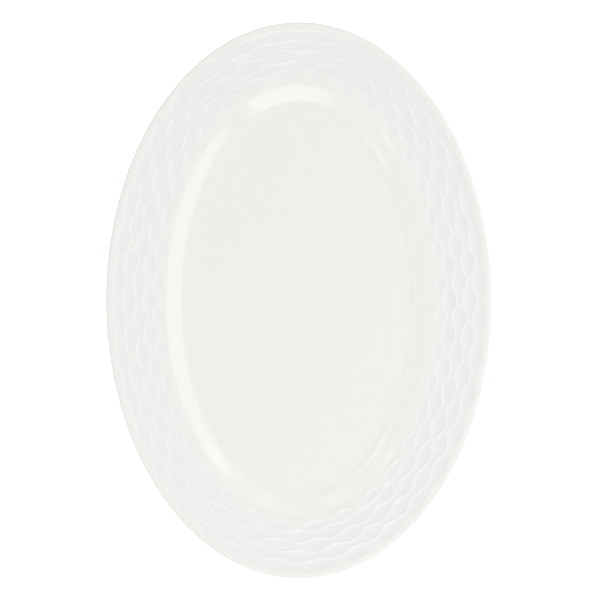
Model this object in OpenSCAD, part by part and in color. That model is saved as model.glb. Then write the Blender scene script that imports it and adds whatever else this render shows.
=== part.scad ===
// Oval serving platter in porcelain: one fired body with an integral foot ring and a rim
// of waved hollows, under a glaze coat that stops short of the foot.
//
// The origin is on the table under the middle of the platter. +Z is up, +Y runs
// along the platter and +X across it. Every outline is an oval whose half width
// and half length are those of the lip less an inset, so the rim is as wide at
// the ends as at the sides. The shoulder alone is wider at the ends.
//
// The rim's face is pressed with rows of hollows. Waved ridges part the rows, and
// neighbouring ridges swing against each other, so that each row is a string of
// lens shapes that sits half a wave off the next.

/* [Overall size] */
// Length over the lip, along Y
length = 390; // [310:1:470]
// Width over the lip, along X
width = 270.5; // [220:0.5:330]
// Height of the lip above the table
height = 22; // [20:0.5:26]

/* [Rim] */
// Width of the rim, from the lip to the last ridge at the top of the shoulder
rim_w = 37.5; // [33:0.5:46]
// Fall of the rim from the lip to the last ridge
rim_fall = 5.2; // [2:0.2:6]
// Thickness of the rim and the shoulder, glaze left out
wall_t = 4; // [3.2:0.1:5]

/* [Well] */
// Width of the shoulder at the sides
shoulder_side_w = 20.5; // [17:0.5:26]
// Width of the shoulder at the ends
shoulder_end_w = 24.5; // [18:0.5:30]
// Thickness of the floor, glaze left out
floor_t = 5; // [4:0.1:6]

/* [Waved hollows] */
// Number of rows of hollows across the rim
rows = 5; // [3:1:5]
// Waves in each ridge around the platter
waves = 36; // [24:4:36]
// Distance from the lip to the middle of the first ridge
first_ridge = 5.3; // [5:0.1:7]
// Width of the last row of hollows, next to the shoulder
last_row_w = 4.3; // [3.6:0.1:6]
// Widest swing of a ridge to each side of its middle
swing = 1.4; // [0.5:0.05:1.5]
// Share of the swing that is lost at the first ridge
swing_fade = 0.45; // [0:0.05:0.6]
// Swing of the last ridge to each side of its middle
last_swing = 1.7; // [0.5:0.05:2]
// Depth of a hollow that is as wide as the pitch of the rows
hollow_depth = 0.8; // [0.3:0.05:1]

/* [Foot] */
// Height of the foot ring
foot_h = 4; // [3:0.2:5]
// Width of the foot ring where it leaves the floor
foot_w = 4.5; // [3:0.5:7]
// Distance from the edge of the well floor in to the foot ring
foot_inset = 1.5; // [0:0.5:5]
// Height of the bare clay above the table at the foot ring
bare_h = 1; // [0.6:0.1:1.6]

/* [Glaze] */
// Thickness of the glaze
glaze_t = 0.3; // [0.2:0.05:0.5]

/* [Hidden] */

// Points around each ring, a quarter of a wave apart
SEGMENTS = 4 * waves;
// Steps in which the length of an oval is added up
ARC_STEPS = 720;
// Slack by which a cut runs past the face that it opens
CUT = 1;
// Sides that a round tool is drawn with
ROUND = 96;

// Half the thickness of the rim is the radius of its rounded lip
lip_r = wall_t / 2;
// Inset at which the rim face meets the rounded lip
lip_inset = glaze_t + lip_r;
// Heights of the body's face at the lip, at the top of the shoulder and in the well
lip_z = height - glaze_t;
shoulder_z = lip_z - rim_fall;
floor_z = foot_h + floor_t;
shoulder_drop = shoulder_z - floor_z;
// Rise of the rim face for each millimetre that it goes out
rim_slope = rim_fall / (rim_w - lip_inset);
rim_lean = 90 + atan(rim_slope);
// The other rows share what the last row leaves of the rim
ridge_pitch = (rim_w - first_ridge - last_row_w) / (rows - 1);
// Place among the ridges, counted from the lip, at which they swing widest
WIDEST = 0.6 * (rows - 1);
// Power of its width that a hollow's depth grows with
DEPTH_POWER = 1.2;
// Insets of the foot ring's two walls, at the sides
foot_outer = rim_w + shoulder_side_w + foot_inset;
foot_inner = foot_outer + foot_w;
// Half the bare height is taken off the foot's edge where it meets the table
foot_edge = bare_h / 2;
// How far the foot's outer wall turns from upright
foot_lean = atan(foot_inset / (foot_h - bare_h));

// A ring of the profile is [inset, height, lean, swing, cut, cut swing]. The lean is the
// way out of the surface in degrees: 90 is up, 0 is out from the platter and -90 is down.
// The cut is the width of the hollow that the ring runs in, or 0 where there is none, and
// its swing is how much wider the hollow grows.
INSET = 0;
HEIGHT = 1;
LEAN = 2;
SWING = 3;
WIDE = 4;
WIDE_SWING = 5;

// How much further in an oval lies at the ends than at the sides
function end_extra(inset) =
    (shoulder_end_w - shoulder_side_w) * min(1, max(0, (inset - rim_w) / shoulder_side_w));

// Angles of the points around a ring, spaced evenly along the middle of the rim
mid_a = (width - rim_w) / 2;
mid_b = (length - rim_w) / 2;
function speed(angle) = norm([mid_a * sin(angle), mid_b * cos(angle)]);
ARC = [for (i = 0, run = 0; i <= ARC_STEPS; run = run + speed((i + 0.5) * 360 / ARC_STEPS), i = i + 1)
    [run, i * 360 / ARC_STEPS]];
ANGLES = [for (i = [0 : SEGMENTS - 1]) lookup(ARC[ARC_STEPS][0] * i / SEGMENTS, ARC)];

// Points of one ring. A ring with a swing above zero bulges out at the ends and sides.
function ring_points(ring) = [for (i = [0 : SEGMENTS - 1])
    let (wave = cos(360 * waves * i / SEGMENTS),
         inset = ring[INSET] - ring[SWING] * wave,
         cut = ring[WIDE] + ring[WIDE_SWING] * wave,
         depth = hollow_depth * pow(cut / ridge_pitch, DEPTH_POWER))
    [(width / 2 - inset) * cos(ANGLES[i]),
     (length / 2 - inset - end_extra(inset)) * sin(ANGLES[i]),
     ring[HEIGHT] - depth]];

// A ring that runs plain all the way round
function plain_ring(inset, height, lean) = [inset, height, lean, 0, 0, 0];

// Height of the plane of the ridges at an inset
function rim_z(inset) = lip_z - rim_slope * (inset - lip_inset);

// The shoulder over the share of its width that is passed, from 0 at its top to 1 at the
// floor. It leaves with the rim's slope and runs out level.
shoulder_start = rim_slope * shoulder_side_w / shoulder_drop;
function shoulder_fall(share) =
    shoulder_start * share * pow(1 - share, 2) + share * share * (3 - 2 * share);
function shoulder_slope(share) = atan(shoulder_drop / shoulder_side_w
    * (1 - share) * (shoulder_start * (1 - 3 * share) + 6 * share));

// A ring on the shoulder's face, and the one square below it on its underside
function shoulder_ring(share) = plain_ring(rim_w + shoulder_side_w * share,
    shoulder_z - shoulder_drop * shoulder_fall(share), 90 + shoulder_slope(share));
function under_ring(share) =
    let (face = shoulder_ring(share), wall = wall_t + (floor_t - wall_t) * share)
    plain_ring(face[INSET] + wall * cos(face[LEAN]), face[HEIGHT] - wall * sin(face[LEAN]),
        face[LEAN] - 180 + (share == 1 ? (90 - foot_lean) / 2 : 0));

// Ridges are counted from the lip, and the last one is at the top of the shoulder
function ridge_inset(k) = k == rows ? rim_w : first_ridge + k * ridge_pitch;
function ridge_swing(k) = (k % 2 == 0 ? -1 : 1)
    * (k == rows ? last_swing : swing * (1 - swing_fade * pow((k - WIDEST) / WIDEST, 2)));
function ridge_ring(k) =
    [ridge_inset(k), rim_z(ridge_inset(k)), rim_lean, ridge_swing(k), 0, 0];

// The middle of the hollows between a ridge and the next one in
function hollow_ring(k) =
    let (inset = (ridge_inset(k) + ridge_inset(k + 1)) / 2)
    [inset, rim_z(inset), rim_lean, (ridge_swing(k) + ridge_swing(k + 1)) / 2,
     ridge_inset(k + 1) - ridge_inset(k), ridge_swing(k) - ridge_swing(k + 1)];

// The profile from the well floor out over the lip and back to the bare clay of the foot
SHOULDER_SHARES = [1, 0.65, 0.3];
LIP_LEANS = [45, 0, -60];
UNDER_SHARES = [0, 0.5, 1];
glazed_rings = concat(
    [for (share = SHOULDER_SHARES) shoulder_ring(share)],
    [ridge_ring(rows)],
    [for (k = [rows - 1 : -1 : 0]) each [hollow_ring(k), ridge_ring(k)]],
    [plain_ring(lip_inset, lip_z, rim_lean)],
    [for (lean = LIP_LEANS)
        plain_ring(lip_inset - lip_r * cos(lean), lip_z - lip_r + lip_r * sin(lean), lean)],
    [for (share = UNDER_SHARES) under_ring(share)],
    [plain_ring(foot_outer, bare_h, -foot_lean)]);
foot_ring = plain_ring(foot_outer + foot_edge, 0, -90);

// The same profile with the glaze on it
function coated(rings) = [for (ring = rings)
    [ring[INSET] - glaze_t * cos(ring[LEAN]), ring[HEIGHT] + glaze_t * sin(ring[LEAN]),
     ring[LEAN], ring[SWING], ring[WIDE], ring[WIDE_SWING]]];

// Triangles of the band between two rings, given by their first points
function band_faces(from, to, flip) = [for (i = [0 : SEGMENTS - 1])
    let (n = (i + 1) % SEGMENTS)
    each flip
        ? [[from + i, to + i, to + n], [from + i, to + n, from + n]]
        : [[from + i, to + n, to + i], [from + i, from + n, to + n]]];

// Triangles of the bands between rings in a row, from the first ring's number
function skin_faces(first, count, flip) = [for (j = [first : first + count - 2])
    each band_faces(j * SEGMENTS, (j + 1) * SEGMENTS, flip)];

// A flat cap on one ring
function cap_face(number, flip) = let (start = number * SEGMENTS)
    flip ? [for (i = [SEGMENTS - 1 : -1 : 0]) start + i] : [for (i = [0 : SEGMENTS - 1]) start + i];

function all_points(rings) = [for (ring = rings) each ring_points(ring)];

// A solid inside one run of rings, flat at both ends
module filled(rings) {
    n = len(rings);
    polyhedron(all_points(rings),
        concat([cap_face(0, true)], skin_faces(0, n, false), [cap_face(n - 1, false)]));
}

// A shell between two runs of rings that end side by side
module shell(outer, inner) {
    n = len(outer);
    polyhedron(concat(all_points(outer), all_points(inner)),
        concat([cap_face(0, true), cap_face(n, false)],
            skin_faces(0, n, false), skin_faces(n, n, true),
            band_faces((n - 1) * SEGMENTS, (2 * n - 1) * SEGMENTS, false)));
}

// An oval block with straight walls
module oval_block(inset, low, high) {
    translate([0, 0, low])
        scale([width / 2 - inset, length / 2 - inset - end_extra(inset), 1])
            cylinder(r = 1, h = high - low, $fn = ROUND);
}

// The fired clay: floor, shoulder, hollowed rim, rounded lip and foot ring in one piece
module porcelain_body() {
    color("gainsboro") difference() {
        filled(concat(glazed_rings, [foot_ring]));
        oval_block(foot_inner, -CUT, foot_h);
    }
}

// The glaze over the face, round the lip and down the back, wiped off level at the foot
module glaze_coat() {
    color("white") difference() {
        shell(coated(glazed_rings), glazed_rings);
        oval_block(foot_outer - foot_w, bare_h - CUT, bare_h);
    }
}

// The glaze on the underside, inside the foot ring
module foot_recess_glaze() {
    color("whitesmoke") difference() {
        oval_block(foot_inner, bare_h, foot_h);
        oval_block(foot_inner + glaze_t, bare_h - CUT, foot_h - glaze_t);
    }
}

porcelain_body();
glaze_coat();
foot_recess_glaze();
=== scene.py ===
"""Oval serving platter in glazed porcelain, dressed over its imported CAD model.

The platter is one fired body, a glaze coat that runs from the well over the rim and
down the back to the foot, and a second patch of glaze inside the foot ring. Each is
one closed surface: a path in section that is carried round a family of ovals.

Sizes are in millimetres, in the CAD model's frame, and turn to metres as a mesh is made.
"""

from __future__ import annotations

import logging
import math
from dataclasses import dataclass, field
from enum import Enum

import bpy
import numpy as np
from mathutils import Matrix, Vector

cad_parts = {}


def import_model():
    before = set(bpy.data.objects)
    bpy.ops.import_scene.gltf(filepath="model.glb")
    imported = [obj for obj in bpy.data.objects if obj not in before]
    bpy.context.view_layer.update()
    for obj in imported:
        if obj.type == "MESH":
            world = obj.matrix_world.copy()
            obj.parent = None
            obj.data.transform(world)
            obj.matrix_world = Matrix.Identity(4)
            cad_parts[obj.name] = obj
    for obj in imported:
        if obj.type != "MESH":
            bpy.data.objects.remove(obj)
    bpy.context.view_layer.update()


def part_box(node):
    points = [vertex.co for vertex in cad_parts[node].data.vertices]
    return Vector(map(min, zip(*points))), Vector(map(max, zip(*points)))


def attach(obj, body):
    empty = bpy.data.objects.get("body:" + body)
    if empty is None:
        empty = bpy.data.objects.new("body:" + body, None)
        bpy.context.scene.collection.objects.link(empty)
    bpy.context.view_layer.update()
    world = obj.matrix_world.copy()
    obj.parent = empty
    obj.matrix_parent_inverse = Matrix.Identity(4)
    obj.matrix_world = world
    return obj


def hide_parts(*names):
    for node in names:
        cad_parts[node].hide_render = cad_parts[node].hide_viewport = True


log = logging.getLogger("platter")

MM = 0.001
WHITE = (1.0, 1.0, 1.0, 1.0)


class Node(Enum):
    """The CAD model's nodes."""

    BODY = "porcelain_body"
    GLAZE = "glaze_coat"
    RECESS = "foot_recess_glaze"


class Slot(Enum):
    """The record's material slots."""

    GLAZE = "white_glaze"
    BARE = "bare_porcelain"


# ---------------------------------------------------------------- node and colour tools


def linear_colour(hex_code: str) -> tuple[float, float, float, float]:
    """Turns an sRGB hex colour to linear light.

    Args:
        hex_code: The colour as six hex digits, with or without a leading #.

    Returns:
        Red, green, blue and an alpha of 1.
    """
    digits = hex_code.lstrip("#")
    encoded = np.array([int(digits[i : i + 2], 16) for i in (0, 2, 4)]) / 255
    linear = np.where(encoded <= 0.04045, encoded / 12.92, ((encoded + 0.055) / 1.055) ** 2.4)
    return (*(float(c) for c in linear), 1.0)


def add_node(
    tree: bpy.types.NodeTree, kind: str, inputs: dict[str | int, object], **settings: object
) -> bpy.types.Node:
    """Adds a node with its settings, its socket values and its links.

    Args:
        tree: The node tree that gets the node.
        kind: The node's type name.
        inputs: What each input gets, by name or number. An output socket is linked to
            it, and anything else is set as its value.
        settings: The node's own properties.

    Returns:
        The new node.
    """
    node = tree.nodes.new(kind)
    for name, value in settings.items():
        setattr(node, name, value)
    for socket, value in inputs.items():
        if isinstance(value, bpy.types.NodeSocket):
            tree.links.new(value, node.inputs[socket])
        else:
            node.inputs[socket].default_value = value
    return node


def new_material(name: str) -> tuple[bpy.types.Material, bpy.types.NodeTree]:
    """Makes an empty material.

    Args:
        name: The material's name.

    Returns:
        The material and its node tree.
    """
    material = bpy.data.materials.new(name)
    material.use_nodes = True
    material.node_tree.nodes.clear()
    return material, material.node_tree


# ---------------------------------------------------------------- finishes


@dataclass(frozen=True)
class WhiteGlaze:
    """Clear gloss glaze fired on white porcelain, dipped and drained.

    To the eye it is a plain, even, faintly cool white under a sharp clear shine. The
    glaze is glass, so its IOR is 1.5, and it fires smooth, so its roughness is low.
    """

    thin_colour: str = "#E9E8E5"
    # The hollows' colour: a cooler tint of pooled glaze, and a little darker as painted shade
    pooled_and_shaded_colour: str = "#E5E7E7"
    ior: float = 1.5
    roughness_low: float = 0.07
    roughness_high: float = 0.11
    # A dipped glaze levels to a skin with ripples a few centimetres apart
    ripple_mm: float = 30.0
    ripple_height_mm: float = 0.004
    # Its orange peel is about 1.5 mm across. It is drawn at 4 mm so that it shows.
    peel_mm: float = 4.0
    peel_height_mm: float = 0.0004

    def build(self) -> bpy.types.Material:
        """Makes the material.

        The colour turns from that of thin glaze on the ridges to a darker, cooler colour in
        the hollows with the surface's own hollow attribute. The cooler tint is that of pooled
        glaze, and the darkening is painted shade in the hollows. The attribute is 0 on a ridge
        and 1 in the middle of a hollow that is as wide as the rows' pitch, and the mix stops
        at 1 in a wider one.

        Returns:
            The material.
        """
        material, tree = new_material("white_glaze_fired")
        place = add_node(tree, "ShaderNodeTexCoord", {}).outputs["Object"]
        hollow = add_node(tree, "ShaderNodeAttribute", {}, attribute_name="hollow")
        # Painted shade: the colour darkens towards the middle of each hollow, with the cool tint
        # of pooled glaze
        colour = add_node(
            tree,
            "ShaderNodeMix",
            {
                "Factor": hollow.outputs["Fac"],
                6: linear_colour(self.thin_colour),
                7: linear_colour(self.pooled_and_shaded_colour),
            },
            data_type="RGBA",
        )
        cloud = add_node(
            tree,
            "ShaderNodeTexNoise",
            {"Vector": place, "Scale": 1 / (self.ripple_mm * MM), "Detail": 2.0},
        )
        roughness = add_node(
            tree,
            "ShaderNodeMapRange",
            {
                "Value": cloud.outputs["Fac"],
                "To Min": self.roughness_low,
                "To Max": self.roughness_high,
            },
        )
        ripple = add_node(
            tree,
            "ShaderNodeBump",
            {
                "Height": cloud.outputs["Fac"],
                "Strength": 1.0,
                "Distance": self.ripple_height_mm * MM,
            },
        )
        peel = add_node(
            tree,
            "ShaderNodeTexNoise",
            {"Vector": place, "Scale": 1 / (self.peel_mm * MM), "Detail": 1.0},
        )
        bump = add_node(
            tree,
            "ShaderNodeBump",
            {
                "Height": peel.outputs["Fac"],
                "Strength": 1.0,
                "Distance": self.peel_height_mm * MM,
                "Normal": ripple.outputs["Normal"],
            },
        )
        shader = add_node(
            tree,
            "ShaderNodeBsdfPrincipled",
            {
                "Base Color": colour.outputs[2],
                "Roughness": roughness.outputs["Result"],
                "IOR": self.ior,
                "Normal": bump.outputs["Normal"],
            },
        )
        add_node(tree, "ShaderNodeOutputMaterial", {"Surface": shader.outputs[0]})
        return material


@dataclass(frozen=True)
class BarePorcelain:
    """Porcelain fired without glaze and rubbed smooth at the foot.

    To the eye it is a dry, warm white with a fine grain, a little grey where the foot
    has stood on tables.
    """

    clay_colour: str = "#E2DED6"
    rubbed_colour: str = "#CFCAC1"
    ior: float = 1.5
    roughness: float = 0.62
    # The clay's grain is about 0.1 mm. It is drawn at 0.6 mm so that it shows.
    grain_mm: float = 0.6
    grain_height_mm: float = 0.02
    rub_mm: float = 9.0
    # The noise values between which the clay turns from clean to rubbed
    rub_from: float = 0.45
    rub_to: float = 0.75

    def build(self) -> bpy.types.Material:
        """Makes the material.

        Returns:
            The material.
        """
        material, tree = new_material("bare_porcelain_rubbed")
        place = add_node(tree, "ShaderNodeTexCoord", {}).outputs["Object"]
        rub = add_node(
            tree,
            "ShaderNodeTexNoise",
            {"Vector": place, "Scale": 1 / (self.rub_mm * MM), "Detail": 4.0},
        )
        share = add_node(
            tree,
            "ShaderNodeMapRange",
            {"Value": rub.outputs["Fac"], "From Min": self.rub_from, "From Max": self.rub_to},
        )
        colour = add_node(
            tree,
            "ShaderNodeMix",
            {
                "Factor": share.outputs["Result"],
                6: linear_colour(self.clay_colour),
                7: linear_colour(self.rubbed_colour),
            },
            data_type="RGBA",
        )
        grain = add_node(
            tree,
            "ShaderNodeTexNoise",
            {"Vector": place, "Scale": 1 / (self.grain_mm * MM), "Detail": 2.0},
        )
        bump = add_node(
            tree,
            "ShaderNodeBump",
            {
                "Height": grain.outputs["Fac"],
                "Strength": 1.0,
                "Distance": self.grain_height_mm * MM,
            },
        )
        shader = add_node(
            tree,
            "ShaderNodeBsdfPrincipled",
            {
                "Base Color": colour.outputs[2],
                "Roughness": self.roughness,
                "IOR": self.ior,
                "Normal": bump.outputs["Normal"],
            },
        )
        add_node(tree, "ShaderNodeOutputMaterial", {"Surface": shader.outputs[0]})
        return material


# ---------------------------------------------------------------- the form


@dataclass(frozen=True)
class OvalFamily:
    """The lip's oval and the ovals inside it, each named by its inset from the lip.

    An oval's half width and half length are those of the lip less the inset. Over the
    shoulder it also draws in along the platter, by end_extra in all.
    """

    half_width: float
    half_length: float
    rim_width: float
    shoulder_width: float
    end_extra: float

    def angles(self, count: int) -> np.ndarray:
        """Gives the angles that part the oval along the middle of the rim evenly.

        The oval's length is summed over small steps of angle, and the angle at each
        even share of it is read off.

        Args:
            count: How many angles.

        Returns:
            The angles in radians, from 0 at +X.
        """
        half_a = self.half_width - self.rim_width / 2
        half_b = self.half_length - self.rim_width / 2
        fine = np.linspace(0, 2 * np.pi, 16 * count + 1)
        speed = np.hypot(half_a * np.sin(fine), half_b * np.cos(fine))
        run = np.concatenate(([0.0], np.cumsum(speed[1:] + speed[:-1])))
        return np.interp(np.linspace(0, run[-1], count, endpoint=False), run, fine)

    def place(self, inset: np.ndarray, height: np.ndarray, shrink: np.ndarray) -> np.ndarray:
        """Puts a grid of section points round the ovals.

        Args:
            inset: The points' insets, a row for each step of the section.
            height: Their heights, in the same layout.
            shrink: For each row, how far its oval is shrunk towards the middle.

        Returns:
            The points in space, in metres, with one more axis of three.
        """
        angle = self.angles(inset.shape[1])
        extra = self.end_extra * np.clip((inset - self.rim_width) / self.shoulder_width, 0, 1)
        scale = shrink[:, None]
        x = scale * (self.half_width - inset) * np.cos(angle)
        y = scale * (self.half_length - inset - extra) * np.sin(angle)
        return np.stack((x, y, height), axis=-1) * MM


@dataclass(frozen=True)
class WavedHollows:
    """Rows of hollows across the rim, parted by waved ridges.

    Neighbouring ridges swing against each other, so each row is a string of lens-shaped
    hollows that sits half a wave off the next.
    """

    waves: int = 36
    rows: int = 5
    first_ridge: float = 5.3
    pitch: float = 6.98
    swing: float = 1.4
    # Share of the swing that is lost at the first ridge
    swing_fade: float = 0.45
    # Place of the widest swing, as a share of the way from the first ridge inwards
    widest_at: float = 0.6
    last_swing: float = 1.7
    # Depth in the middle of a hollow that is as wide as the pitch
    middle_depth: float = 0.8
    fullness: float = 0.6
    ridge_softness: float = 0.2
    steps: int = 12
    # How far the steps crowd towards the ridges, from 0 for even steps to 1
    crowding: float = 0.9

    def ridges(self, phase: np.ndarray, last_inset: float) -> np.ndarray:
        """Gives each ridge's inset round the platter: its mean less a cosine of the phase.

        Args:
            phase: The wave's phase at each column, in radians.
            last_inset: The mean inset of the last ridge, at the top of the shoulder.

        Returns:
            The insets, a row for each ridge from the lip inwards.
        """
        number = np.arange(self.rows)
        widest = self.widest_at * (self.rows - 1)
        swing = self.swing * (1 - self.swing_fade * ((number - widest) / widest) ** 2)
        mean = np.append(self.first_ridge + self.pitch * number, last_inset)
        swing = np.append(swing, self.last_swing) * np.where(np.arange(self.rows + 1) % 2, 1, -1)
        return mean[:, None] - swing[:, None] * np.cos(phase)

    def depth(self, from_outer: np.ndarray, from_inner: np.ndarray) -> np.ndarray:
        """Gives the depth of a hollow between two ridges.

        With the distances a and b from the two ridges and the ridges' pitch p it is
        middle_depth (4 a b / p^2)^fullness: a flat bottom with steep sides, and deeper
        where the hollow is wider. Each distance d is softened to sqrt(d^2 + e^2) - e,
        which rounds the ridge over a width e.

        Args:
            from_outer: Distances from the ridge on the lip's side.
            from_inner: Distances from the ridge on the well's side.

        Returns:
            The depths below the plane of the ridges.
        """
        soft = self.ridge_softness
        outer = np.hypot(from_outer, soft) - soft
        inner = np.hypot(from_inner, soft) - soft
        return self.middle_depth * (4 * outer * inner / self.pitch**2) ** self.fullness

    def shares(self) -> np.ndarray:
        """Gives the steps across one hollow as shares of its width, closer at the ridges."""
        even = np.linspace(0, 1, self.steps, endpoint=False)
        return even - self.crowding * np.sin(2 * np.pi * even) / (2 * np.pi)


@dataclass(frozen=True)
class Section:
    """The platter's section, measured on the outside of its glaze."""

    height: float
    wall: float = 4.0
    floor: float = 5.0
    glaze: float = 0.3
    rim_width: float = 37.5
    rim_fall: float = 5.2
    shoulder_width: float = 20.5
    foot_height: float = 4.0
    foot_width: float = 4.5
    foot_inset: float = 1.5
    bare_height: float = 1.0

    @property
    def lip_radius(self) -> float:
        """Half the glazed wall's thickness."""
        return self.wall / 2 + self.glaze

    @property
    def rim_angle(self) -> float:
        """How far the rim turns up from level, in radians."""
        return math.atan(self.rim_fall / (self.rim_width - self.lip_radius))

    @property
    def lip_touch(self) -> float:
        """Inset at which the ridges' plane touches the rounded lip."""
        return self.lip_radius * (1 + math.sin(self.rim_angle))

    @property
    def floor_height(self) -> float:
        """Height of the well's floor."""
        return self.foot_height + self.floor + self.glaze

    @property
    def floor_inset(self) -> float:
        """Inset at which the floor is level."""
        return self.rim_width + self.shoulder_width

    def rim_plane(self, inset: np.ndarray) -> np.ndarray:
        """Gives the height of the ridges' plane, which touches the rounded lip.

        Args:
            inset: The insets.

        Returns:
            The heights.
        """
        top = self.height - self.lip_radius * (1 - math.cos(self.rim_angle))
        return top - math.tan(self.rim_angle) * (inset - self.lip_touch)

    def face(self, inset: np.ndarray, depth: np.ndarray | float = 0.0) -> np.ndarray:
        """Gives the height of the face.

        The shoulder leaves the rim with the rim's slope and runs out level in the floor.
        At a share s of its width it has fallen by start s (1 - s)^2 + drop s^2 (3 - 2 s),
        where start is the fall that the rim's slope would give over that width.

        Args:
            inset: The insets.
            depth: The depths of the hollows there.

        Returns:
            The heights.
        """
        top = float(self.rim_plane(np.array(self.rim_width)))
        share = np.clip((inset - self.rim_width) / self.shoulder_width, 0, 1)
        start = math.tan(self.rim_angle) * self.shoulder_width
        fall = start * share * (1 - share) ** 2
        fall = fall + (top - self.floor_height) * share**2 * (3 - 2 * share)
        return np.where(inset < self.rim_width, self.rim_plane(inset), top - fall) - depth


def arc(
    centre: tuple[float, float], radius: float, start: float, end: float, count: int
) -> np.ndarray:
    """Gives points along an arc in section.

    Args:
        centre: The arc's centre as (inset, height).
        radius: Its radius.
        start: The way out of the surface at its start, in degrees: 90 is up, 0 is out
            from the platter and -90 is down.
        end: The same at its end.
        count: How many points.

    Returns:
        The points, a row of (inset, height) each.
    """
    lean = np.radians(np.linspace(start, end, count))
    return np.stack((centre[0] - radius * np.cos(lean), centre[1] + radius * np.sin(lean)), axis=1)


def round_corner(
    before: np.ndarray, corner: np.ndarray, after: np.ndarray, radius: float, count: int
) -> np.ndarray:
    """Rounds a corner between two straight runs.

    The arc's ends lie where it touches the runs. Points in between follow a parabola
    with the corner as its control point, which is close to the arc.

    Args:
        before: A point on the run into the corner.
        corner: The corner.
        after: A point on the run out of it.
        radius: The arc's radius.
        count: How many points.

    Returns:
        The points, a row of (inset, height) each.
    """
    into, out = before - corner, after - corner
    into, out = into / np.linalg.norm(into), out / np.linalg.norm(out)
    reach = radius / math.tan(math.acos(float(into @ out)) / 2)
    share = np.linspace(0, 1, count)[:, None]
    return (
        (1 - share) ** 2 * (corner + reach * into)
        + 2 * share * (1 - share) * corner
        + share**2 * (corner + reach * out)
    )


@dataclass
class Skin:
    """A grid of section points: a row for each step of the path, a column for each angle."""

    inset: np.ndarray
    height: np.ndarray
    shrink: np.ndarray
    hollow: np.ndarray
    coarse: np.ndarray

    @classmethod
    def waved(cls, inset: np.ndarray, height: np.ndarray, hollow: np.ndarray, every: int) -> Skin:
        """Makes rows that differ round the platter.

        Args:
            inset: The points' insets, a row for each step of the path.
            height: Their heights, in the same layout.
            hollow: Their share of a full hollow's depth, in the same layout.
            every: One row in how many is kept by a coarse skin.

        Returns:
            The skin.
        """
        rows = len(inset)
        return cls(inset, height, np.ones(rows), hollow, np.arange(rows) % every == 0)

    @classmethod
    def plain(cls, points: np.ndarray, columns: int, every: int = 1) -> Skin:
        """Makes rows that are the same all the way round.

        Args:
            points: The path, a row of (inset, height) each.
            columns: How many columns.
            every: One row in how many is kept by a coarse skin.

        Returns:
            The skin.
        """
        inset, height = (np.repeat(points[:, k : k + 1], columns, axis=1) for k in (0, 1))
        return cls.waved(inset, height, np.zeros_like(inset), every)

    @classmethod
    def joined(cls, *skins: Skin) -> Skin:
        """Joins skins end to end."""
        names = ("inset", "height", "shrink", "hollow", "coarse")
        return cls(*(np.concatenate([getattr(s, name) for s in skins]) for name in names))

    def normals(self) -> tuple[np.ndarray, np.ndarray]:
        """Gives the way out of the surface at each point, in section.

        It is square to the run between the rows before and after, to the left of it.

        Returns:
            The outward and the upward share.
        """
        out = -self.inset - (1 - self.shrink[:, None]) * np.max(self.inset)
        run_out, run_up = np.gradient(out, axis=0), np.gradient(self.height, axis=0)
        length = np.hypot(run_out, run_up)
        return -run_up / length, run_out / length

    def inner(self, thickness: float) -> Skin:
        """Gives the coarse skin that lies a thickness behind this one."""
        out, up = self.normals()
        inset, height = self.inset + thickness * out, self.height - thickness * up
        kept = self.coarse
        return Skin(inset[kept], height[kept], self.shrink[kept], self.hollow[kept], kept[kept])

    def reversed(self) -> Skin:
        """Gives the same skin run the other way, so that it faces the other way."""
        parts = (self.inset, self.height, self.shrink, self.hollow, self.coarse)
        return Skin(*(part[::-1] for part in parts))

    def cut_level(self, level: float) -> Skin:
        """Slides the last row along the surface to a level."""
        rise = (level - self.height[-1]) / (self.height[-1] - self.height[-2])
        self.inset[-1] += rise * (self.inset[-1] - self.inset[-2])
        self.height[-1] = level
        return self


def closed_piece(
    name: str, ovals: OvalFamily, skin: Skin, sharp_degrees: float = 40.0
) -> bpy.types.Object:
    """Makes a closed piece of a skin that starts and ends at a pole on the upright axis.

    Args:
        name: The piece's name.
        ovals: The ovals that the skin is carried round.
        skin: The skin, with its first and last rows level.
        sharp_degrees: The turn above which an edge is shaded sharp.

    Returns:
        The piece's object.
    """
    points = ovals.place(skin.inset, skin.height, skin.shrink)
    rows, columns = points.shape[:2]
    poles = np.array([[0, 0, skin.height[0, 0] * MM], [0, 0, skin.height[-1, 0] * MM]])
    vertices = np.concatenate((points.reshape(-1, 3), poles))
    number = np.arange(rows * columns).reshape(rows, columns)
    beside = np.roll(number, -1, axis=1)
    quads = np.stack((number[:-1], number[1:], beside[1:], beside[:-1]), axis=-1).reshape(-1, 4)
    first = np.full(columns, rows * columns)
    fan_top = np.stack((first, number[0], beside[0]), axis=-1)
    fan_end = np.stack((first + 1, beside[-1], number[-1]), axis=-1)
    loops = np.concatenate((quads.ravel(), fan_top.ravel(), fan_end.ravel()))
    sizes = np.concatenate((np.full(len(quads), 4), np.full(2 * columns, 3)))
    starts = np.concatenate(([0], np.cumsum(sizes)[:-1]))

    mesh = bpy.data.meshes.new(name)
    mesh.vertices.add(len(vertices))
    mesh.vertices.foreach_set("co", vertices.astype(np.float32).ravel())
    mesh.loops.add(len(loops))
    mesh.loops.foreach_set("vertex_index", loops.astype(np.int32))
    mesh.polygons.add(len(sizes))
    mesh.polygons.foreach_set("loop_start", starts.astype(np.int32))
    mesh.polygons.foreach_set("use_smooth", np.ones(len(sizes), bool))
    mesh.update(calc_edges=True)
    mesh.validate()
    mesh.set_sharp_from_angle(angle=math.radians(sharp_degrees))
    hollow = mesh.attributes.new("hollow", "FLOAT", "POINT")
    hollow.data.foreach_set("value", np.append(skin.hollow.ravel(), (0, 0)).astype(np.float32))
    piece = bpy.data.objects.new(name, mesh)
    bpy.context.scene.collection.objects.link(piece)
    return piece


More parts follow.
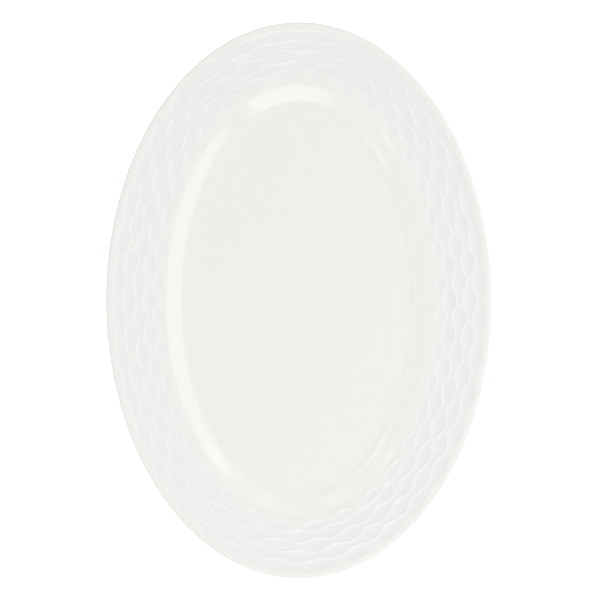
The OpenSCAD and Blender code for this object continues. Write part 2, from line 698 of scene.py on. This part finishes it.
@dataclass
class Platter:
    """The platter: its body, its glaze coat and the glaze inside its foot ring."""

    length: float
    width: float
    section: Section
    hollows: WavedHollows = field(default_factory=WavedHollows)
    end_extra: float = 4.0
    columns_per_wave: int = 20
    # The ovals inside the well's edge, as shares of it
    floor_shares: tuple[float, ...] = (0.3, 0.65, 0.92)
    shoulder_steps: int = 18
    # Steps from the first ridge to the lip's rounding
    band_steps: int = 4
    lip_steps: int = 8
    # The back's rows, as shares of the shoulder's width, start under the rim
    back_start: float = -0.25
    back_end: float = 0.92
    back_steps: int = 10
    # One row in how many the glaze's inner side keeps
    shoulder_thinning: int = 3
    hollow_thinning: int = 4
    back_thinning: int = 2
    corner_steps: int = 5
    bend_steps: int = 6
    foot_fillet: float = 1.5
    foot_rounding: float = 0.6
    # How far the recess's ceiling has rows of its own, in radii of the fillet
    ceiling_reach: float = 5.0

    @property
    def columns(self) -> int:
        """How many columns a skin has."""
        return self.columns_per_wave * self.hollows.waves

    @property
    def ovals(self) -> OvalFamily:
        """The platter's family of ovals."""
        s = self.section
        half_width, half_length = self.width / 2, self.length / 2
        return OvalFamily(half_width, half_length, s.rim_width, s.shoulder_width, self.end_extra)

    @property
    def foot_outer(self) -> float:
        """Inset of the foot ring's outer wall where the glaze ends."""
        return self.section.floor_inset + self.section.foot_inset

    @property
    def foot_inner(self) -> float:
        """Inset of the foot ring's inner wall."""
        return self.foot_outer + self.section.foot_width

    def face_skin(self) -> Skin:
        """Makes the face from the middle of the well out to the lip.

        The floor is shrunken ovals of its edge. From there each row lies at a fixed
        share of the way between two ridges, so that rows follow the ridges' waves.

        Returns:
            The skin.
        """
        s, h = self.section, self.hollows
        phase = np.arange(self.columns) * 2 * np.pi / self.columns_per_wave
        lines = h.ridges(phase, s.rim_width)
        edge = (s.floor_inset, s.floor_height)
        floor = Skin.plain(np.array([edge] * len(self.floor_shares)), self.columns)
        floor.shrink = np.array(self.floor_shares)

        share = np.linspace(0, 1, self.shoulder_steps, endpoint=False)[:, None]
        inset = s.floor_inset + share * (lines[-1] - s.floor_inset)
        blank = np.zeros_like(inset)
        shoulder = Skin.waved(inset, s.face(inset), blank, self.shoulder_thinning)

        cells = []
        for outer, inner in zip(lines[-2::-1], lines[:0:-1]):
            share = h.shares()[:, None]
            inset = inner + share * (outer - inner)
            depth = h.depth(inset - outer, inner - inset)
            hollow = depth / h.middle_depth
            cells.append(Skin.waved(inset, s.face(inset, depth), hollow, self.hollow_thinning))

        share = np.linspace(0, 1, self.band_steps, endpoint=False)[:, None]
        inset = lines[0] + share * (s.lip_touch - lines[0])
        band = Skin.waved(inset, s.face(inset), np.zeros_like(inset), self.band_steps)
        return Skin.joined(floor, shoulder, *cells, band)

    def back_skin(self) -> Skin:
        """Makes the rounded lip and the back down to the bare clay of the foot.

        The back lies a wall's thickness square behind the face without its hollows. The
        wall grows to the floor's thickness over the shoulder.

        Returns:
            The skin.
        """
        s = self.section
        rim = math.degrees(s.rim_angle)
        radius = s.lip_radius
        lip = arc((radius, s.height - radius), radius, 90 + rim, rim - 90, self.lip_steps)
        under_rim = np.linspace(self.back_start, 0, 2, endpoint=False)
        share = np.concatenate((under_rim, np.linspace(0, self.back_end, self.back_steps)))
        inset = s.rim_width + s.shoulder_width * share
        height = s.face(inset)
        apart = 0.02
        slope = (s.face(inset + apart / 2) - s.face(inset - apart / 2)) / apart
        wall = s.wall + (s.floor - s.wall) * np.clip(share, 0, 1) + 2 * s.glaze
        length = np.hypot(1, slope)
        under = np.stack((inset + wall * slope / length, height - wall / length), axis=1)
        slant = s.foot_inset / (s.foot_height - s.bare_height)
        step = s.glaze * math.hypot(1, slant) - s.glaze * slant
        corner = np.array((s.floor_inset - step, s.foot_height - s.glaze))
        drop = corner[1] - s.bare_height
        end = corner + (slant * drop, -drop)
        fillet = round_corner(under[-1], corner, end, self.foot_fillet, self.corner_steps)
        return Skin.joined(
            Skin.plain(lip, self.columns, self.back_thinning),
            Skin.plain(under, self.columns, self.back_thinning),
            Skin.plain(np.concatenate((fillet, end[None])), self.columns, self.corner_steps),
        )

    def foot_path(self) -> np.ndarray:
        """Gives the bare foot's section from its outer wall to its inner one."""
        s = self.section
        edge = s.bare_height / 2
        outer = np.array((self.foot_outer, s.bare_height))
        inner = np.array((self.foot_inner, s.bare_height))
        toe = np.array((self.foot_outer + edge, 0.0))
        heel = np.array((self.foot_inner - edge, 0.0))
        corners = ((outer, toe, heel), (toe, heel, inner))
        return np.concatenate(
            [round_corner(*points, self.foot_rounding, self.corner_steps) for points in corners]
        )

    def recess_path(self, depth: float) -> np.ndarray:
        """Gives the recess's section up its wall and on to its ceiling.

        Args:
            depth: How far the path lies behind the bare clay's surface, as glaze does.

        Returns:
            The points.
        """
        s = self.section
        wall, ceiling = self.foot_inner + depth, s.foot_height - depth
        start = np.array((wall, s.bare_height))
        corner = np.array((wall, ceiling))
        far = np.array((wall + self.ceiling_reach * self.foot_fillet, ceiling))
        bend = round_corner(start, corner, far, self.foot_fillet - depth, self.bend_steps)
        return np.concatenate((start[None], bend, far[None]))

    def finish_piece(
        self, name: str, skin: Skin, node: Node, finish: bpy.types.Material
    ) -> None:
        """Makes a piece of a skin, dresses it and puts it in its CAD node's place.

        Args:
            name: The piece's name.
            skin: Its closed skin.
            node: The CAD node that it stands for.
            finish: Its material.
        """
        piece = closed_piece(name, self.ovals, skin)
        piece.data.materials.append(finish)
        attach(piece, "root")
        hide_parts(node.value)
        triangles = sum(len(p.vertices) - 2 for p in piece.data.polygons)
        log.info("%s: %d triangles, stands for %s", name, triangles, node.value)

    def build(self, glaze: WhiteGlaze, clay: BarePorcelain) -> None:
        """Builds and dresses the three pieces.

        Args:
            glaze: The finish of both glazed pieces.
            clay: The finish of the body.
        """
        s = self.section
        outer = Skin.joined(self.face_skin(), self.back_skin())
        inner = outer.inner(s.glaze).cut_level(s.bare_height)
        ceiling = Skin.plain(self.recess_path(0), self.columns)
        ceiling_glaze = Skin.plain(self.recess_path(s.glaze), self.columns)
        foot = Skin.plain(self.foot_path(), self.columns)

        coat = Skin.joined(outer, inner.reversed())
        recess = Skin.joined(ceiling.reversed(), ceiling_glaze)
        body = Skin.joined(inner, foot, ceiling)
        glazed = glaze.build()
        self.finish_piece("glaze_coat_smooth", coat, Node.GLAZE, glazed)
        self.finish_piece("recess_glaze_smooth", recess, Node.RECESS, glazed)
        self.finish_piece("porcelain_body_smooth", body, Node.BODY, clay.build())


# ---------------------------------------------------------------- the studio


@dataclass(frozen=True)
class Softbox:
    """A flat square-cornered studio light that faces the platter.

    Its angles are in degrees, the azimuth from +X, and its sizes in metres.
    """

    name: str
    azimuth: float
    elevation: float
    distance: float
    width: float
    height: float
    radiance: float

    def build(self) -> bpy.types.Object:
        """Makes the light.

        A flat light of an area gives its power over pi times that area as radiance.

        Returns:
            The light's object.
        """
        lamp = bpy.data.lights.new(self.name, "AREA")
        lamp.shape = "RECTANGLE"
        lamp.size, lamp.size_y = self.width, self.height
        lamp.energy = self.radiance * math.pi * self.width * self.height
        light = bpy.data.objects.new(self.name, lamp)
        bpy.context.scene.collection.objects.link(light)
        turn, rise = math.radians(self.azimuth), math.radians(self.elevation)
        away = Vector(
            (math.cos(turn) * math.cos(rise), math.sin(turn) * math.cos(rise), math.sin(rise))
        )
        light.location = self.distance * away
        light.rotation_mode = "QUATERNION"
        light.rotation_quaternion = away.to_track_quat("Z", "Y")
        light.visible_camera = False
        return light


@dataclass(frozen=True)
class Studio:
    """A white table, a soft white surround, softboxes and a camera over the platter.

    Its lengths are in metres, apart from the lens and the sensor.
    """

    lens_mm: float = 100.0
    sensor_mm: float = 36.0
    # Width of what the camera takes in, at the height of the lip
    view_width: float = 0.41976
    # How far the camera stands off the platter's middle
    camera_offset: tuple[float, float] = (0.00082, 0.00015)
    camera_reach: float = 20.0
    table_width: float = 8.0
    table_colour: str = "#EDEDED"
    # What the table adds to its own light where it is seen, so that it reads as white
    table_glow: float = 0.75
    # How bright the surround is for what it lights
    fill: float = 0.58
    softboxes: tuple[Softbox, ...] = (
        Softbox("key_right", 0, 40, 1.2, 1.0, 0.6, 1.65),
        Softbox("left", 180, 50, 1.5, 0.9, 0.6, 1.05),
        Softbox("front", -83, 52, 1.2, 0.9, 0.5, 2.0),
        Softbox("back", 90, 52, 1.5, 1.0, 0.6, 0.8),
        Softbox("back_right", 42, 50, 1.3, 0.6, 0.5, 0.9),
        Softbox("back_left", 138, 50, 1.4, 0.6, 0.5, 1.25),
        Softbox("front_left", -140, 54, 1.3, 0.5, 0.5, 0.95),
    )

    def seen_or_lit(self, tree: bpy.types.NodeTree) -> bpy.types.NodeSocket:
        """Gives 1 to a ray that sees a surface plainly, mirrored or through glass, or else 0.

        Args:
            tree: The node tree to add to.

        Returns:
            The output socket.
        """
        ray = add_node(tree, "ShaderNodeLightPath", {}).outputs
        plain = add_node(
            tree,
            "ShaderNodeMath",
            {0: ray["Is Camera Ray"], 1: ray["Is Glossy Ray"]},
            operation="MAXIMUM",
        )
        either = add_node(
            tree,
            "ShaderNodeMath",
            {0: plain.outputs[0], 1: ray["Is Transmission Ray"]},
            operation="MAXIMUM",
        )
        return either.outputs[0]

    def build_world(self) -> None:
        """Makes the surround: white where it is seen, and a plain fill where it lights."""
        world = bpy.data.worlds.new("studio")
        world.use_nodes = True
        tree = world.node_tree
        tree.nodes.clear()
        fill = add_node(tree, "ShaderNodeBackground", {"Color": WHITE, "Strength": self.fill})
        seen = add_node(tree, "ShaderNodeBackground", {"Color": WHITE, "Strength": 1.0})
        mix = add_node(
            tree,
            "ShaderNodeMixShader",
            {0: self.seen_or_lit(tree), 1: fill.outputs[0], 2: seen.outputs[0]},
        )
        add_node(tree, "ShaderNodeOutputWorld", {"Surface": mix.outputs[0]})
        bpy.context.scene.world = world

    def build_table(self) -> None:
        """Makes the table top: a matt white that is lifted to white where it is seen.

        Most of what the camera gets is a plain glow, and the rest is the lit surface
        itself, so that the platter's shadow still lies on it.
        """
        half = self.table_width / 2
        corners = [(-half, -half, 0), (half, -half, 0), (half, half, 0), (-half, half, 0)]
        mesh = bpy.data.meshes.new("table_top")
        mesh.from_pydata(corners, [], [(0, 1, 2, 3)])
        table = bpy.data.objects.new("table_top", mesh)
        bpy.context.scene.collection.objects.link(table)
        material, tree = new_material("matt_white_board")
        matt = add_node(tree, "ShaderNodeBsdfDiffuse", {"Color": linear_colour(self.table_colour)})
        glow = add_node(tree, "ShaderNodeEmission", {"Color": WHITE, "Strength": self.table_glow})
        lifted = add_node(tree, "ShaderNodeAddShader", {0: matt.outputs[0], 1: glow.outputs[0]})
        shown = add_node(
            tree,
            "ShaderNodeMixShader",
            {0: self.seen_or_lit(tree), 1: matt.outputs[0], 2: lifted.outputs[0]},
        )
        add_node(tree, "ShaderNodeOutputMaterial", {"Surface": shown.outputs[0]})
        mesh.materials.append(material)

    def build_camera(self, lip_height: float) -> None:
        """Makes the camera, which looks straight down with the platter's length upright.

        Its distance over the lip is the lens's length times the width that it takes in
        over the sensor's width.

        Args:
            lip_height: Height of the lip, in metres.
        """
        camera = bpy.data.cameras.new("camera")
        camera.lens, camera.sensor_width = self.lens_mm, self.sensor_mm
        above = self.lens_mm * self.view_width / self.sensor_mm
        holder = bpy.data.objects.new("camera", camera)
        holder.location = (*self.camera_offset, lip_height + above)
        camera.clip_end = self.camera_reach
        bpy.context.scene.collection.objects.link(holder)
        bpy.context.scene.camera = holder

    def build(self, lip_height: float) -> None:
        """Builds the table, the surround, the softboxes and the camera.

        Args:
            lip_height: Height of the lip, in metres.
        """
        self.build_table()
        self.build_world()
        for softbox in self.softboxes:
            softbox.build()
        self.build_camera(lip_height)
        bpy.context.scene.view_settings.view_transform = "Standard"
        log.info("studio: %d softboxes", len(self.softboxes))


def main() -> None:
    """Loads the frame, reads the platter's size off the glaze coat's box, and builds the platter
    and the studio.
    """
    logging.basicConfig(level=logging.INFO, format="%(name)s: %(message)s")
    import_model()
    low, high = (np.array(corner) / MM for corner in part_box(Node.GLAZE.value))
    section = Section(height=float(high[2]))
    width, length = (float(high[axis] - low[axis]) for axis in (0, 1))
    platter = Platter(length=length, width=width, section=section)
    platter.build(WhiteGlaze(), BarePorcelain())
    Studio().build(section.height * MM)


if __name__ == "__main__":
    main()
